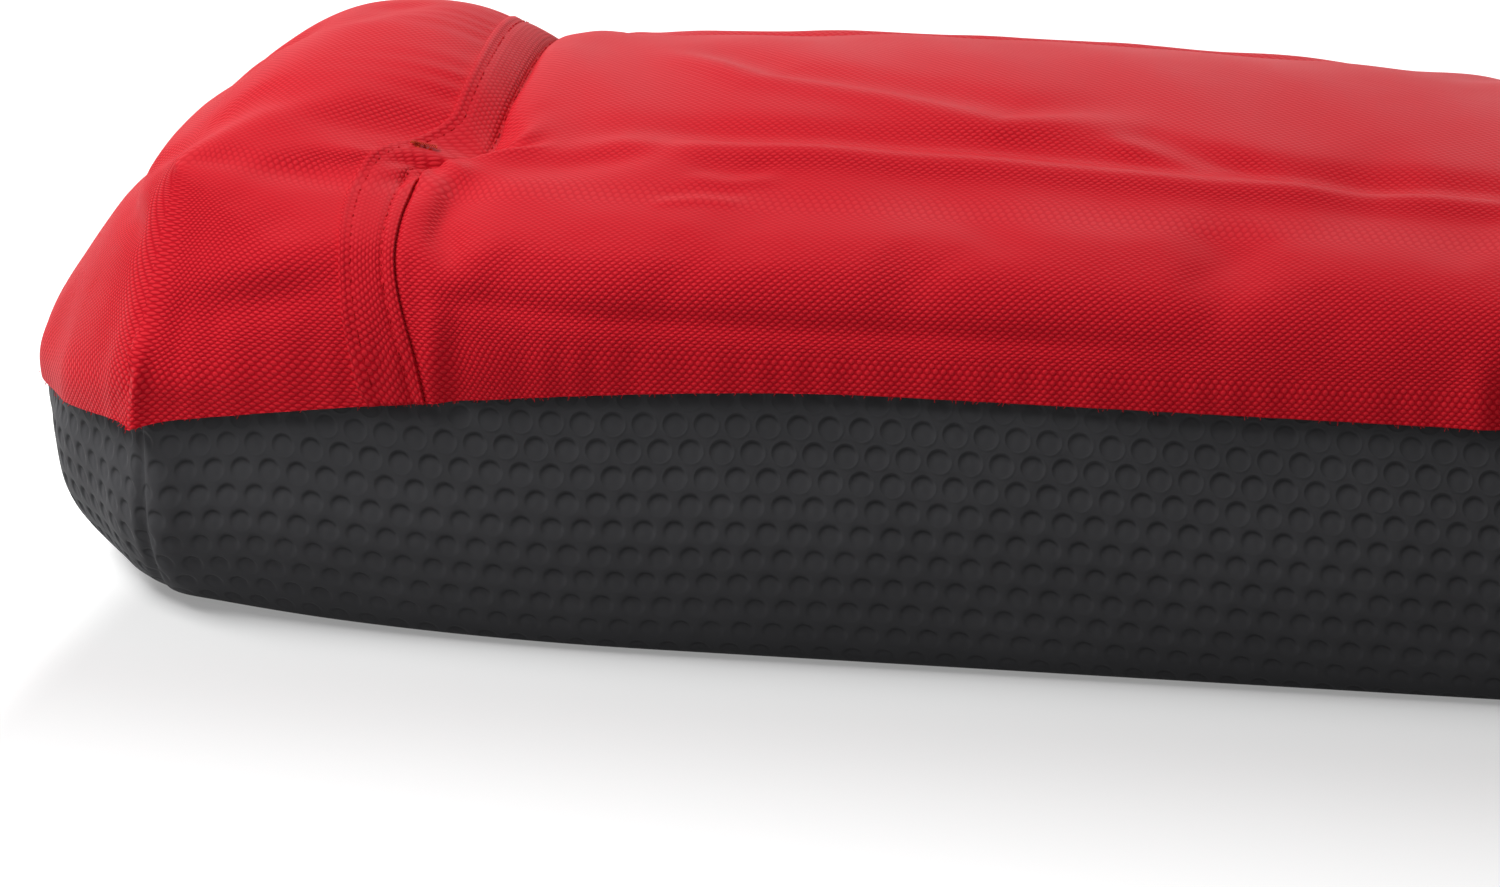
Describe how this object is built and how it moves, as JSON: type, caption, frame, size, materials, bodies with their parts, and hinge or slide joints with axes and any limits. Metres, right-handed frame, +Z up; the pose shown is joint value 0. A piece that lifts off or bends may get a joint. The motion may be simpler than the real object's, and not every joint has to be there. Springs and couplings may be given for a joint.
{
  "type": "crash landing mat",
  "caption": "Long narrow padded mat with a raised bolster at its head end, a woven cover seamed under a band, a dotted soft base and a zip along the back seam.",
  "frame": {"origin": "middle of the flat underside, on the floor", "axes": "+X along the mat from the bolster to the tail, +Y across it to the zip side, +Z up"},
  "size_m": [1.2, 0.3428, 0.1796],
  "materials": {
    "red_cloth": "coarse woven, slight sheen",
    "red_band": "coarse woven",
    "red_thread": "sewing thread",
    "black_vinyl": "soft vinyl with small round dots",
    "grey_foam": "open-cell foam",
    "white_pad": "closed-cell foam",
    "black_tape": "woven tape",
    "black_coil": "nylon coil",
    "dark_metal": "dark plated"
  },
  "bodies": {
    "mat": {"head_cover": "red_cloth", "main_cover": "red_cloth", "crease_band": "red_band", "crease_tack_front": "red_thread", "crease_tack_back": "red_thread", "base_wrap": "black_vinyl", "base_end_head": "black_vinyl", "base_end_tail": "black_vinyl", "base_pad_head": "white_pad", "base_pad_main": "white_pad", "bolster_foam": "grey_foam", "main_foam": "grey_foam", "divider_web": "red_band", "zip_tape_upper": "black_tape", "zip_tape_lower": "black_tape", "zip_stay_tape": "black_tape", "zip_coil_upper": "black_coil", "zip_coil_lower": "black_coil", "zip_stop_open": "dark_metal", "zip_stop_closed": "dark_metal"},
    "slider": {"zip_slider": "dark_metal"},
    "pull": {"zip_pull": "dark_metal"}
  },
  "joints": [
    {"name": "zip_slide", "type": "slide", "parent": "mat", "child": "slider", "axis": [-1, 0, 0], "range_m": [0, 0.6424]},
    {"name": "zip_pull_swing", "type": "hinge", "parent": "slider", "child": "pull", "pos_m": [0.3212, 0.17049, 0.098], "axis": [0, 0, -1], "range_deg": [0, 170]}
  ]
}
